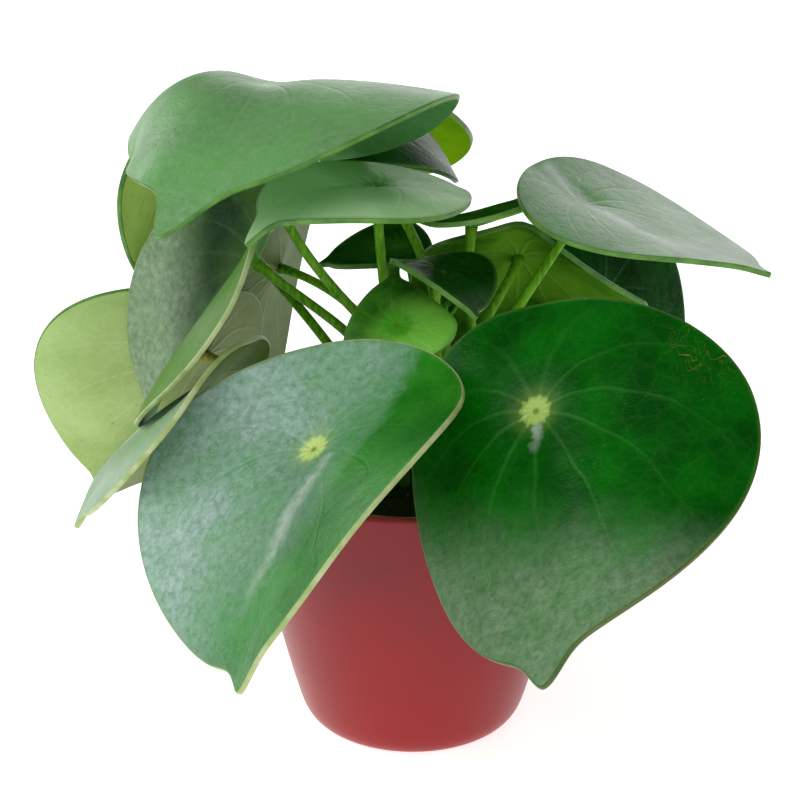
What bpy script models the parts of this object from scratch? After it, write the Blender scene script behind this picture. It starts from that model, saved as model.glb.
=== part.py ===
"""Potted raindrop peperomia: tapered pot, soil, short stem and eighteen raindrop leaves on long petioles.

The frame has its origin in the middle of the pot's flat base, +Z up, and -Y towards the viewer.
All driving dimensions are in millimetres and degrees; the mesh is written in metres.
"""
from math import cos, exp, pi, radians, sin

import bmesh
import bpy
from mathutils import Matrix, Vector

MM = 0.001
COLLECTION = "potted_raindrop_peperomia"

# pot: turned wall with a rounded foot and a thin rounded rim
POT_SEGMENTS = 48
POT_OUTER = (
    (52.4, 96.2), (53.8, 96.2), (54.8, 95.6), (55.0, 94.4), (54.0, 86.0), (52.0, 72.0), (49.2, 57.0),
    (46.2, 42.0), (43.0, 28.0), (40.2, 17.0), (38.0, 9.0), (36.6, 4.8), (34.6, 1.8), (31.6, 0.0),
)
POT_INNER = (
    (33.0, 5.2), (35.6, 9.0), (36.9, 17.0), (39.7, 28.0), (42.9, 42.0), (45.9, 57.0), (48.7, 72.0),
    (50.7, 86.0), (51.4, 95.2),
)

# soil: fills the pot to a little below the rim
FIT_GAP = 0.3
SOIL_TOP = 88.0
SOIL_CROWN = 90.0
SOIL_SLOPE = ((22.0, 89.7), (40.0, 88.8))
HOLE_SEGMENTS = 12
HOLE_OVERRUN = 6.0

# stem: short upright stalk in the middle of the crown
CROWN_AT = (8.0, 2.0)
STEM_RADIUS = 4.6
STEM_FOOT = 62.0
STEM_TOP = ((0.0, 137.0), (2.1, 136.4), (3.7, 134.4), (4.2, 130.0), (4.6, 117.0))
STEM_SEGMENTS = 16

# petioles: round stalks that stand in the soil and bend over to their blades
PETIOLE_RADIUS = 1.7
PETIOLE_FOOT = 72.0
PETIOLE_BEND = 91.0
PETIOLE_STEPS = 9

# blades: thick, domed or cupped, with a short drip tip
BLADE_THICKNESS = 1.6
BLADE_RINGS = 4
BLADE_SEGMENTS = 26
TIP_CROWDING = 1.3
TIP_WIDTH = 0.15
DIMPLE_DEPTH = 0.018
DIMPLE_SPREAD = 0.09
CREASE_REACH = 0.12
ARC_STEPS = 60

MATERIALS = {
    "glazed_pot": ((0.130, 0.012, 0.016, 1.0), 0.22, 0.0),
    "potting_soil": ((0.030, 0.020, 0.013, 1.0), 0.95, 0.0),
    "stem_tissue": ((0.180, 0.210, 0.050, 1.0), 0.50, 0.0),
    "leaf_dark": ((0.020, 0.125, 0.018, 1.0), 0.30, 0.0),
    "leaf_olive": ((0.190, 0.340, 0.050, 1.0), 0.45, 0.0),
}

OLIVE_LEAVES = ("leaf_left_back", "leaf_top_back", "leaf_left_hanging", "leaf_back_olive")

# Each leaf: length and width of the blade, share of the length behind the petiole, how far the widest
# part lies towards the base (with its difference between the sides), drip tip, turning of the left and
# right halves, crease at the midrib, turning of the tip and base ends, place and attitude of the point
# where the petiole meets the blade, twist, fuller side and lean of the tip; then the petiole's foot
# (distance and bearing from the crown), its rise, its reach under the blade and the reach's sideways shift.
LEAVES = {
    "leaf_front_left": {
        "length": 110, "width": 118, "behind": 0.33, "full": 0.24, "full_side": -0.01, "tip": 8,
        "turn_left": -8, "turn_right": -6, "crease": 4, "turn_tip": 30, "tip_rate": 1.4, "turn_base": -33,
        "at": (-31, -62.5, 125), "heading": -101, "pitch": 20, "roll": 27,
        "twist": 29, "side": -0.09, "lean": -17,
        "foot": (21, 239), "rise": 30, "reach": 28, "shift": (-2, -1, 1),
    },
    "leaf_front_right": {
        "length": 122, "width": 116, "behind": 0.3, "full": 0.18, "full_side": 0.01, "tip": 10,
        "turn_left": -50, "turn_right": -48, "crease": 11, "turn_tip": -20, "tip_rate": 1.6, "turn_base": 8,
        "at": (35, -69, 140), "heading": -89, "pitch": 38, "roll": 29,
        "twist": 15, "side": 0.19, "lean": 5,
        "foot": (21, 294), "rise": 32, "reach": 27, "shift": (-3, -1, -2),
    },
    "leaf_top_front": {
        "length": 115, "width": 116, "behind": 0.45, "full": 0.17, "full_side": -0.04, "tip": 14,
        "turn_left": -14, "turn_right": -118, "crease": 13, "turn_tip": 65, "tip_rate": 0.8, "turn_base": 71,
        "at": (-45, -21, 227), "heading": -92, "pitch": -12, "roll": -10,
        "twist": 20, "side": 0.02, "lean": -18,
        "foot": (14.5, 83), "rise": 33, "reach": 47, "shift": (0, 34, -26),
    },
    "leaf_middle_band": {
        "length": 70, "width": 64, "behind": 0.39, "full": -0.09, "full_side": 0.03, "tip": 10,
        "turn_left": -19, "turn_right": 8, "crease": 7, "turn_tip": 45, "tip_rate": 1.6, "turn_base": 4,
        "at": (-11, -19, 192.5), "heading": -155, "pitch": -8, "roll": 8,
        "twist": 5, "side": 0.27, "lean": 14,
        "foot": (15.5, 214), "rise": 29, "reach": 25, "shift": (1, 30, 0),
    },
    "leaf_left_folded": {
        "length": 103, "width": 94, "behind": 0.3, "full": 0.05, "full_side": 0.09, "tip": 12,
        "turn_left": -34, "turn_right": 24, "crease": 25, "turn_tip": 26, "tip_rate": 2.3, "turn_base": -22,
        "at": (-53, 12, 156.5), "heading": 176, "pitch": 56, "roll": -5,
        "twist": 2, "side": 0.07, "lean": -18,
        "foot": (15.5, 192), "rise": 44, "reach": 23, "shift": (9, 15, -19),
    },
    "leaf_left_back": {
        "length": 92, "width": 93, "behind": 0.27, "full": 0.2, "full_side": 0, "tip": 11,
        "turn_left": 18, "turn_right": 4, "crease": 15, "turn_tip": -39, "tip_rate": 1.9, "turn_base": -4,
        "at": (-73.3, 69, 100.4), "heading": 178, "pitch": 64, "roll": 47,
        "twist": 13, "side": 0.17, "lean": -5,
        "foot": (21, 145), "rise": 32, "reach": 33, "shift": (3, -8, 12),
    },
    "leaf_left_low": {
        "length": 83, "width": 78, "behind": 0.34, "full": 0.28, "full_side": 0, "tip": 8,
        "turn_left": -21, "turn_right": -44, "crease": 8, "turn_tip": 26, "tip_rate": 1.2, "turn_base": -13,
        "at": (-70.6, -14.1, 120.4), "heading": 174, "pitch": 39, "roll": 9,
        "twist": -19, "side": 0.03, "lean": -1,
        "foot": (20.5, 193), "rise": 30, "reach": 28, "shift": (-2, 3, 3),
    },
    "leaf_top_back": {
        "length": 74, "width": 73, "behind": 0.38, "full": 0.31, "full_side": 0, "tip": 4,
        "turn_left": -18, "turn_right": 5, "crease": -8, "turn_tip": 21, "tip_rate": 1.5, "turn_base": 21,
        "at": (-81, 82.5, 159.5), "heading": 171, "pitch": 86, "roll": 34,
        "twist": -2, "side": 0.05, "lean": -1,
        "foot": (19, 169), "rise": 29, "reach": 28, "shift": (-7, -10, -3),
    },
    "leaf_left_hanging": {
        "length": 107, "width": 86, "behind": 0.32, "full": 0.22, "full_side": 0, "tip": 9,
        "turn_left": 26, "turn_right": 3, "crease": 2, "turn_tip": 27, "tip_rate": 1.1, "turn_base": 13,
        "at": (-50.1, 108.5, 116.8), "heading": 136, "pitch": 68, "roll": -25,
        "twist": 1, "side": -0.07, "lean": -2,
        "foot": (20.5, 113), "rise": 32, "reach": 16, "shift": (7, -21, 10),
    },
    "leaf_back_sheen": {
        "length": 73, "width": 51, "behind": 0.38, "full": 0.23, "full_side": 0, "tip": 1,
        "turn_left": -28, "turn_right": -14, "crease": 3, "turn_tip": 63, "tip_rate": 1.4, "turn_base": 30,
        "at": (-18.5, 36, 196), "heading": 15, "pitch": 11, "roll": 19,
        "twist": -7, "side": 0.07, "lean": -2,
        "foot": (10, 64), "rise": 76, "reach": 19, "shift": (12, -9, -8),
    },
    "leaf_back_olive": {
        "length": 70, "width": 56, "behind": 0.36, "full": 0.24, "full_side": 0, "tip": 1,
        "turn_left": -8, "turn_right": -36, "crease": 0, "turn_tip": -1, "tip_rate": 1.5, "turn_base": 22,
        "at": (-8, 97, 178), "heading": 54, "pitch": 42, "roll": -25,
        "twist": -7, "side": 0.02, "lean": 2,
        "foot": (21, 94), "rise": 27, "reach": 28, "shift": (2, 11, -7),
    },
    "leaf_centre_small": {
        "length": 33, "width": 38, "behind": 0.42, "full": 0.42, "full_side": 0.07, "tip": 6,
        "turn_left": -44, "turn_right": -16, "crease": 1, "turn_tip": 16, "tip_rate": 1.4, "turn_base": 28,
        "at": (-5, -30.5, 151), "heading": 113, "pitch": -27, "roll": -8,
        "twist": 20, "side": 0.03, "lean": -10,
        "foot": (20, 223), "rise": 33, "reach": 26, "shift": (2, -8, 0),
    },
    "leaf_right_under": {
        "length": 76, "width": 84, "behind": 0.38, "full": 0.12, "full_side": 0, "tip": 5,
        "turn_left": 37, "turn_right": -3, "crease": -30, "turn_tip": 20, "tip_rate": 1.5, "turn_base": 39,
        "at": (34.5, 37, 149), "heading": 90, "pitch": 60, "roll": -3,
        "twist": -18, "side": -0.12, "lean": 1,
        "foot": (20, 70), "rise": 33, "reach": 32, "shift": (-8, 4, 9),
    },
    "leaf_top_right": {
        "length": 82, "width": 79, "behind": 0.25, "full": 0.22, "full_side": -0.02, "tip": 6,
        "turn_left": -8, "turn_right": -24, "crease": 6, "turn_tip": -17, "tip_rate": 0.8, "turn_base": -13,
        "at": (54, 5.5, 178.5), "heading": -27, "pitch": 18, "roll": -9,
        "twist": -12, "side": 0.06, "lean": -16,
        "foot": (11, 13), "rise": 37, "reach": 31, "shift": (-4, -4, 2),
    },
    "leaf_right_dark": {
        "length": 87, "width": 73, "behind": 0.42, "full": 0.24, "full_side": 0, "tip": 6,
        "turn_left": -3, "turn_right": -25, "crease": 0, "turn_tip": 11, "tip_rate": 1.5, "turn_base": 16,
        "at": (68.5, 77.5, 116.5), "heading": -53, "pitch": 64, "roll": -13,
        "twist": 0, "side": 0.18, "lean": 3,
        "foot": (20.5, 18), "rise": 45, "reach": 29, "shift": (0, -21, -27),
    },
    "leaf_centre_dark": {
        "length": 32, "width": 40, "behind": 0.4, "full": 0.39, "full_side": 0, "tip": 3,
        "turn_left": 7, "turn_right": 10, "crease": 2, "turn_tip": 14, "tip_rate": 1.3, "turn_base": 35,
        "at": (9.5, -13.5, 162), "heading": -56, "pitch": 18, "roll": -16,
        "twist": -14, "side": 0.06, "lean": -1,
        "foot": (14.5, 281), "rise": 33, "reach": 20, "shift": (2, 2, 1),
    },
    "leaf_back_under": {
        "length": 36, "width": 36, "behind": 0.36, "full": 0.35, "full_side": 0, "tip": 3,
        "turn_left": 14, "turn_right": 10, "crease": -1, "turn_tip": 16, "tip_rate": 1.6, "turn_base": 24,
        "at": (-6, 47, 147.5), "heading": 180, "pitch": 6, "roll": -4,
        "twist": 0, "side": -0.01, "lean": 3,
        "foot": (17.5, 134), "rise": 31, "reach": 31, "shift": (-11, 9, -6),
    },
    "leaf_edge_on": {
        "length": 63, "width": 44, "behind": 0.43, "full": 0.21, "full_side": 0, "tip": 6,
        "turn_left": -21, "turn_right": 15, "crease": 9, "turn_tip": -25, "tip_rate": 1.5, "turn_base": 0,
        "at": (18.5, 9, 171), "heading": 59, "pitch": 15, "roll": -7,
        "twist": -13, "side": -0.01, "lean": 0,
        "foot": (18.5, 44), "rise": 39, "reach": 23, "shift": (-2, 5, -8),
    },
}


def turning_arc(angle_at, length):
    """Running places (distance, along, height, angle) on a curve whose slope angle is given."""
    step = length / ARC_STEPS
    rows = [(0.0, 0.0, 0.0, angle_at(0.0))]
    for index in range(1, ARC_STEPS + 1):
        distance = index * step
        angle = angle_at(distance)
        middle = (angle + rows[-1][3]) / 2
        rows.append((distance, rows[-1][1] + step * cos(middle), rows[-1][2] + step * sin(middle), angle))
    return rows


def on_arc(rows, distance):
    """Along, height and angle at a distance on a running arc."""
    place = min(max(distance / rows[-1][0], 0.0), 1.0) * ARC_STEPS
    index = min(int(place), ARC_STEPS - 1)
    part = place - index
    first, second = rows[index], rows[index + 1]
    return tuple(first[k] + (second[k] - first[k]) * part for k in (1, 2, 3))


def fullest(full):
    """Largest half width that the outline formula gives, to scale it to the wanted width."""
    return max(sin(pi * k / 180) * (1 - full * cos(pi * k / 180)) for k in range(181))


class Blade:
    """Surface of one blade in its own frame: x to the tip, y to the left, z out of the upper side."""

    def __init__(self, leaf):
        self.leaf = leaf
        length = leaf["length"]
        self.front = (1 - leaf["behind"]) * length + leaf["tip"]
        back = leaf["behind"] * length
        self.half = leaf["width"] / 2
        self.fulls = (leaf["full"] + leaf["full_side"], leaf["full"] - leaf["full_side"])
        self.scales = tuple(fullest(full) for full in self.fulls)
        crease = radians(leaf["crease"])

        def across(turn):
            def angle(distance):
                share = distance / self.half
                return crease * min(share / CREASE_REACH, 1.0) + radians(turn) * share
            return turning_arc(angle, self.half * 1.3)

        self.left = across(leaf["turn_left"])
        self.right = across(leaf["turn_right"])
        self.to_tip = turning_arc(
            lambda distance: -radians(leaf["turn_tip"]) * (distance / self.front) ** leaf["tip_rate"],
            self.front * 1.05)
        self.to_base = turning_arc(
            lambda distance: -radians(leaf["turn_base"]) * distance / back, back * 1.05)

    def outline(self, phi):
        """Flat margin point for the bearing phi, 0 at the tip and positive to the left."""
        leaf = self.leaf
        length = leaf["length"]
        along = (0.5 - leaf["behind"]) * length + length / 2 * cos(phi)
        along += leaf["tip"] * exp(-(phi / TIP_WIDTH) ** 2)
        side = 0 if phi >= 0 else 1
        across = self.half * sin(phi) * (1 - self.fulls[side] * cos(phi)) / self.scales[side]
        across *= 1 + leaf["side"] if phi >= 0 else 1 - leaf["side"]
        return along, across

    def point(self, share, phi):
        """Point on the upper side, share 0 at the petiole and 1 on the margin."""
        leaf = self.leaf
        flat_x, flat_y = self.outline(phi)
        flat_x *= share
        flat_y *= share
        if flat_y >= 0:
            across, height, _ = on_arc(self.left, flat_y)
        else:
            across, height, _ = on_arc(self.right, -flat_y)
            across = -across
        if flat_x >= 0:
            along, lift, slope = on_arc(self.to_tip, flat_x)
        else:
            along, lift, slope = on_arc(self.to_base, -flat_x)
            along, slope = -along, -slope
        reach = max(flat_x / self.front, -1.0)
        twist = radians(leaf["twist"]) * reach
        y = across * cos(twist) - height * sin(twist)
        z = across * sin(twist) + height * cos(twist)
        if reach > 0:
            y += leaf["lean"] * reach ** 2
        spread = (flat_x ** 2 + flat_y ** 2) / (DIMPLE_SPREAD * leaf["length"]) ** 2
        z -= DIMPLE_DEPTH * leaf["length"] * exp(-spread)
        return Vector((along - z * sin(slope), y, lift + z * cos(slope)))


def leaf_axes(leaf):
    """Directions to the tip, to the left and out of the upper side."""
    heading, pitch, roll = radians(leaf["heading"]), radians(leaf["pitch"]), radians(leaf["roll"])
    forward = Vector((cos(heading) * cos(pitch), sin(heading) * cos(pitch), -sin(pitch)))
    level = Vector((-sin(heading), cos(heading), 0.0))
    up = forward.cross(level)
    left = level * cos(roll) + up * sin(roll)
    return forward, left, up * cos(roll) - level * sin(roll)


def clear_scene():
    for item in list(bpy.data.objects):
        bpy.data.objects.remove(item, do_unlink=True)
    for group in list(bpy.data.collections):
        bpy.data.collections.remove(group)


def make_material(name):
    colour, roughness, metallic = MATERIALS[name]
    material = bpy.data.materials.new(name)
    material.use_nodes = True
    shader = material.node_tree.nodes["Principled BSDF"]
    shader.inputs["Base Color"].default_value = colour
    shader.inputs["Roughness"].default_value = roughness
    shader.inputs["Metallic"].default_value = metallic
    material.diffuse_color = colour
    return material


def new_object(name, mesh, group, material=None):
    item = bpy.data.objects.new(name, mesh)
    group.objects.link(item)
    if material:
        item.data.materials.append(material)
    return item


def baked(item):
    """Replace an object's mesh by its evaluated one and drop the modifiers."""
    graph = bpy.context.evaluated_depsgraph_get()
    mesh = bpy.data.meshes.new_from_object(item.evaluated_get(graph))
    item.modifiers.clear()
    old = item.data
    item.data = mesh
    bpy.data.meshes.remove(old)
    mesh.name = item.name


def turned(name, profile, segments, group, material):
    """Solid of revolution from a profile that runs from the axis round to the axis."""
    mesh = bpy.data.meshes.new(name)
    points = [(radius * MM, 0.0, height * MM) for radius, height in profile]
    mesh.from_pydata(points, [(k, k + 1) for k in range(len(points) - 1)], [])
    item = new_object(name, mesh, group, material)
    screw = item.modifiers.new("turn", "SCREW")
    screw.axis = "Z"
    screw.steps = segments
    screw.render_steps = segments
    screw.use_merge_vertices = True
    screw.merge_threshold = 0.00005
    screw.use_smooth_shade = True
    baked(item)
    return item


def boolean(item, operation, other, many=False):
    step = item.modifiers.new(operation.lower(), "BOOLEAN")
    step.operation = operation
    step.solver = "EXACT"
    if many:
        step.operand_type = "COLLECTION"
        step.collection = other
    else:
        step.object = other
    baked(item)


def make_pot(group, material):
    profile = ((0.0, POT_INNER[0][1]),) + POT_INNER + POT_OUTER + ((0.0, 0.0),)
    return turned("pot", profile, POT_SEGMENTS, group, material)


def make_soil(group, material):
    """Filling that follows the inside of the pot, with a slightly raised middle."""
    walls = [(radius - FIT_GAP, height) for radius, height in POT_INNER if height < SOIL_TOP]
    floor = POT_INNER[0][1] + FIT_GAP
    walls[0] = (walls[0][0], floor)
    below, above = POT_INNER[-2], POT_INNER[-1]
    part = (SOIL_TOP - below[1]) / (above[1] - below[1])
    edge = (below[0] + (above[0] - below[0]) * part - FIT_GAP, SOIL_TOP)
    profile = ((0.0, SOIL_CROWN),) + SOIL_SLOPE + (edge,) + tuple(reversed(walls)) + ((0.0, floor),)
    return turned("soil", profile, POT_SEGMENTS, group, material)


def foot_of(leaf):
    """Place on the soil where a petiole stands."""
    distance, bearing = leaf["foot"]
    return CROWN_AT[0] + distance * cos(radians(bearing)), CROWN_AT[1] + distance * sin(radians(bearing))


def make_hole(name, place, radius, bottom, group):
    """Cutter for one plain hole in the soil."""
    mesh = bpy.data.meshes.new(name)
    form = bmesh.new()
    top = SOIL_CROWN + HOLE_OVERRUN
    bmesh.ops.create_cone(form, cap_ends=True, segments=HOLE_SEGMENTS, radius1=radius * MM,
                          radius2=radius * MM, depth=(top - bottom) * MM)
    bmesh.ops.translate(form, verts=form.verts,
                        vec=(place[0] * MM, place[1] * MM, (top + bottom) / 2 * MM))
    form.to_mesh(mesh)
    form.free()
    item = new_object(name, mesh, group)
    item.hide_render = True
    item.display_type = "WIRE"
    return item


def make_stem(group, material):
    profile = STEM_TOP + ((STEM_RADIUS, STEM_FOOT), (0.0, STEM_FOOT))
    item = turned("stem", profile, STEM_SEGMENTS, group, material)
    item.data.transform(Matrix.Translation((CROWN_AT[0] * MM, CROWN_AT[1] * MM, 0.0)))
    return item


def petiole_path(leaf):
    """Centre line in millimetres: straight out of the soil, then one bend to the blade's underside."""
    foot = foot_of(leaf)
    _, _, up = leaf_axes(leaf)
    depth = DIMPLE_DEPTH * leaf["length"] + BLADE_THICKNESS / 2
    end = Vector(leaf["at"]) - up * depth
    start = Vector((foot[0], foot[1], PETIOLE_BEND))
    first = start + Vector((0.0, 0.0, leaf["rise"]))
    second = end - up * leaf["reach"] + Vector(leaf["shift"])
    path = [Vector((foot[0], foot[1], PETIOLE_FOOT))]
    for index in range(PETIOLE_STEPS + 1):
        t = index / PETIOLE_STEPS
        u = 1 - t
        path.append(start * u ** 3 + first * (3 * u * u * t) + second * (3 * u * t * t) + end * t ** 3)
    return path


def make_petiole(name, leaf, group):
    curve = bpy.data.curves.new(name, "CURVE")
    curve.dimensions = "3D"
    curve.bevel_depth = PETIOLE_RADIUS * MM
    curve.bevel_resolution = 2
    curve.use_fill_caps = True
    path = petiole_path(leaf)
    spline = curve.splines.new("POLY")
    spline.points.add(len(path) - 1)
    for point, place in zip(spline.points, path):
        point.co = (place.x * MM, place.y * MM, place.z * MM, 1.0)
    item = new_object(name, curve, group)
    graph = bpy.context.evaluated_depsgraph_get()
    mesh = bpy.data.meshes.new_from_object(item.evaluated_get(graph))
    form = bmesh.new()
    form.from_mesh(mesh)
    bmesh.ops.remove_doubles(form, verts=form.verts, dist=0.00001)
    bmesh.ops.recalc_face_normals(form, faces=form.faces)
    form.to_mesh(mesh)
    form.free()
    tube = new_object(name + "_tube", mesh, group)
    tube.matrix_world = item.matrix_world.copy()
    bpy.data.objects.remove(item, do_unlink=True)
    bpy.data.curves.remove(curve)
    return tube


def make_leaf(name, leaf, group, material):
    """Blade from a spun disc, bent to its form and thickened, joined to its petiole."""
    blade = Blade(leaf)
    forward, left, up = leaf_axes(leaf)
    at = Vector(leaf["at"])
    form = bmesh.new()
    spokes = [form.verts.new((k / BLADE_RINGS, 0.0, 0.0)) for k in range(BLADE_RINGS + 1)]
    edges = [form.edges.new((spokes[k], spokes[k + 1])) for k in range(BLADE_RINGS)]
    bmesh.ops.spin(form, geom=spokes + edges, cent=(0, 0, 0), axis=(0, 0, 1), angle=2 * pi,
                   steps=BLADE_SEGMENTS, use_merge=True)
    bmesh.ops.remove_doubles(form, verts=form.verts, dist=0.00001)
    bmesh.ops.triangulate(form, faces=form.faces)
    for vertex in form.verts:
        share = vertex.co.length
        turn = Vector((1.0, 0.0)).angle_signed(vertex.co.xy, 0.0) / -pi if share else 0.0
        phi = pi * abs(turn) ** TIP_CROWDING * (1 if turn >= 0 else -1)
        point = blade.point(share, phi)
        vertex.co = (at + forward * point.x + left * point.y + up * point.z) * MM
    bmesh.ops.recalc_face_normals(form, faces=form.faces)
    form.verts.ensure_lookup_table()
    middle = min(form.verts, key=lambda vertex: (vertex.co - at * MM).length)
    if middle.normal.dot(up) < 0:
        bmesh.ops.reverse_faces(form, faces=form.faces)
    mesh = bpy.data.meshes.new(name)
    form.to_mesh(mesh)
    form.free()
    item = new_object(name, mesh, group, material)
    thick = item.modifiers.new("thickness", "SOLIDIFY")
    thick.thickness = BLADE_THICKNESS * MM
    thick.offset = -1.0
    baked(item)
    tube = make_petiole(name, leaf, group)
    boolean(item, "UNION", tube)
    bpy.data.objects.remove(tube, do_unlink=True)
    for face in item.data.polygons:
        face.use_smooth = True
    return item


def main():
    clear_scene()
    parts = bpy.data.collections.new(COLLECTION)
    cutters = bpy.data.collections.new("soil_cutters")
    bpy.context.scene.collection.children.link(parts)
    bpy.context.scene.collection.children.link(cutters)
    materials = {name: make_material(name) for name in MATERIALS}
    make_pot(parts, materials["glazed_pot"])
    soil = make_soil(parts, materials["potting_soil"])
    make_stem(parts, materials["stem_tissue"])
    make_hole("hole_stem", CROWN_AT, STEM_RADIUS + FIT_GAP, STEM_FOOT - FIT_GAP, cutters)
    for name, leaf in LEAVES.items():
        tone = "leaf_olive" if name in OLIVE_LEAVES else "leaf_dark"
        make_leaf(name, leaf, parts, materials[tone])
        make_hole("hole_" + name, foot_of(leaf), PETIOLE_RADIUS + FIT_GAP, PETIOLE_FOOT - FIT_GAP, cutters)
    boolean(soil, "DIFFERENCE", cutters, many=True)


main()
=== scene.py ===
from functools import cache, partial
from math import cos, exp, pi, radians, sin

import bmesh
import bpy
from mathutils import Matrix, Vector, noise


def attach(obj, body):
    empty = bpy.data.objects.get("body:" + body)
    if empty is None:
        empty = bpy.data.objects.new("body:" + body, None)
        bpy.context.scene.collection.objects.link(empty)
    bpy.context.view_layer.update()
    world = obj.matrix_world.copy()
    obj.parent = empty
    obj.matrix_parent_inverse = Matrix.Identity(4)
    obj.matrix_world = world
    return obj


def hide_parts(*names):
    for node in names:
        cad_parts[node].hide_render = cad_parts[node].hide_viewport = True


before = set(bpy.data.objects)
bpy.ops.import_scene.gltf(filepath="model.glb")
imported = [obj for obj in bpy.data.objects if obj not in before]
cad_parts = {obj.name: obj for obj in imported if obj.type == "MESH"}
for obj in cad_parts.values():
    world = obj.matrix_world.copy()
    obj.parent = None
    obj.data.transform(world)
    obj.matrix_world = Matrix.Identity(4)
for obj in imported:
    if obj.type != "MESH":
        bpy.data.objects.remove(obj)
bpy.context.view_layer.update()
print("frame loaded")

mm = 0.001
mergeDistance = 0.01 * mm


def linear(hexValue):
    # sRGB hex to a linear colour with alpha
    parts = [int(hexValue[k:k + 2], 16) / 255 for k in (1, 3, 5)]
    return tuple(c / 12.92 if c <= 0.04045 else ((c + 0.055) / 1.055) ** 2.4 for c in parts) + (1.0,)


def perMm(size):
    # texture scale of a pattern whose size is given in mm
    return 1 / (size * mm)


def setInputs(node, inputs):
    # inputs are values, hex colours, or sockets to link from
    for key, value in inputs.items():
        if isinstance(value, bpy.types.NodeSocket):
            node.id_data.links.new(value, node.inputs[key])
        else:
            node.inputs[key].default_value = linear(value) if isinstance(value, str) else value


def addNode(tree, kind, inputs, output=0, **settings):
    # adds one shader node and returns the output that is asked for
    node = tree.nodes.new("ShaderNode" + kind)
    for key, value in settings.items():
        setattr(node, key, value)
    setInputs(node, inputs)
    return node.outputs[output]


def newMaterial(name, inputs):
    # a Principled material, the function that adds nodes to it, and its shader
    material = bpy.data.materials.new(name)
    material.use_nodes = True
    shader = material.node_tree.nodes["Principled BSDF"]
    setInputs(shader, inputs)
    return material, partial(addNode, material.node_tree), shader


def layColours(add, colour, covers):
    # lays each cover's colour over those before it, as far as its share goes
    for share, tint in covers:
        colour = add("MixRGB", {"Fac": share, "Color1": colour, "Color2": tint})
    return colour


def spinProfile(form, profile, steps):
    # turns a line of (radius, height) in mm round the upright axis and closes its seam and poles
    line = [form.verts.new((radius * mm, 0.0, height * mm)) for radius, height in profile]
    edges = [form.edges.new(pair) for pair in zip(line[:-1], line[1:])]
    bmesh.ops.spin(form, geom=line + edges, cent=(0, 0, 0), axis=(0, 0, 1), angle=2 * pi, steps=steps,
                   use_merge=True)
    bmesh.ops.remove_doubles(form, verts=form.verts, dist=mergeDistance)
    bmesh.ops.recalc_face_normals(form, faces=form.faces)


def finishPiece(form, name, materials, slotName, *nodes):
    # writes a bmesh to an object that rides on the frame and stands for its CAD nodes
    mesh = bpy.data.meshes.new(name)
    for face in form.faces:
        face.smooth = True
    form.to_mesh(mesh)
    form.free()
    piece = bpy.data.objects.new(name, mesh)
    bpy.context.scene.collection.objects.link(piece)
    for material in materials:
        mesh.materials.append(material)
    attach(piece, "root")
    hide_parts(*nodes)
    return piece


# glazed earthenware pot: dipped in a clear cherry red glaze; profiles in mm, heights in m of the painted sheen and
# the painted lip highlight
pot = {
    "outer": ((52.4, 96.2), (53.8, 96.2), (54.8, 95.6), (55.0, 94.4), (54.0, 86.0), (52.0, 72.0), (49.2, 57.0),
              (46.2, 42.0), (43.0, 28.0), (40.2, 17.0), (38.0, 9.0), (36.6, 4.8), (34.6, 1.8), (31.6, 0.0)),
    "inner": ((33.0, 5.2), (35.6, 9.0), (36.9, 17.0), (39.7, 28.0), (42.9, 42.0), (45.9, 57.0), (48.7, 72.0),
              (50.7, 86.0), (51.4, 95.2)),
    "steps": 72, "rounding": 2, "glaze": "#961115", "glazeSheenShade": "#681A24", "paintedLipHighlight": "#B5484A",
    "paintedSheenRise": (0.004, 0.092), "lip": (0.0952, 0.0962), "grain": 1.4, "drift": 38.0, "rough": (0.285, 0.36),
}


def makePot():
    material, add, shader = newMaterial("cherryGlazedCeramic", {"IOR": 1.5, "Specular IOR Level": 0.3})
    # a clear glaze over red clay, hardly uneven to the touch; a painted sheen and shade turn it darker and more
    # mauve towards the top, and a painted highlight makes the lip pale
    place = add("TexCoord", {}, "Object")
    height = add("SeparateXYZ", {0: place}, "Z")
    paintedSheenRise = add("MapRange", {"Value": height, "From Min": pot["paintedSheenRise"][0], "From Max": pot["paintedSheenRise"][1]})
    drift = add("TexNoise", {"Vector": place, "Scale": perMm(pot["drift"]), "Detail": 3.0})
    even = add("MapRange", {"Value": drift, "From Min": 0.2, "From Max": 0.8})
    share = add("Math", {0: paintedSheenRise, 1: even}, operation="MULTIPLY")
    lip = add("MapRange", {"Value": height, "From Min": pot["lip"][0], "From Max": pot["lip"][1]})
    grain = add("TexNoise", {"Vector": place, "Scale": perMm(pot["grain"]), "Detail": 2.0})
    setInputs(shader, {
        "Base Color": layColours(add, pot["glaze"], ((share, pot["glazeSheenShade"]), (lip, pot["paintedLipHighlight"]))),
        "Roughness": add("MapRange", {"Value": drift, "From Min": 0.1, "From Max": 0.9, "To Min": pot["rough"][0],
                                      "To Max": pot["rough"][1]}),
        "Normal": add("Bump", {"Height": grain, "Strength": 0.05, "Distance": 0.0004}),
    })
    form = bmesh.new()
    spinProfile(form, ((0.0, pot["inner"][0][1]),) + pot["inner"] + pot["outer"] + ((0.0, 0.0),), pot["steps"])
    piece = finishPiece(form, "glazed_pot", [material], "glazed_pot", "pot")
    rounding = piece.modifiers.new("rounding", "SUBSURF")
    rounding.levels = rounding.render_levels = pot["rounding"]
    print("pot made")


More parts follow.
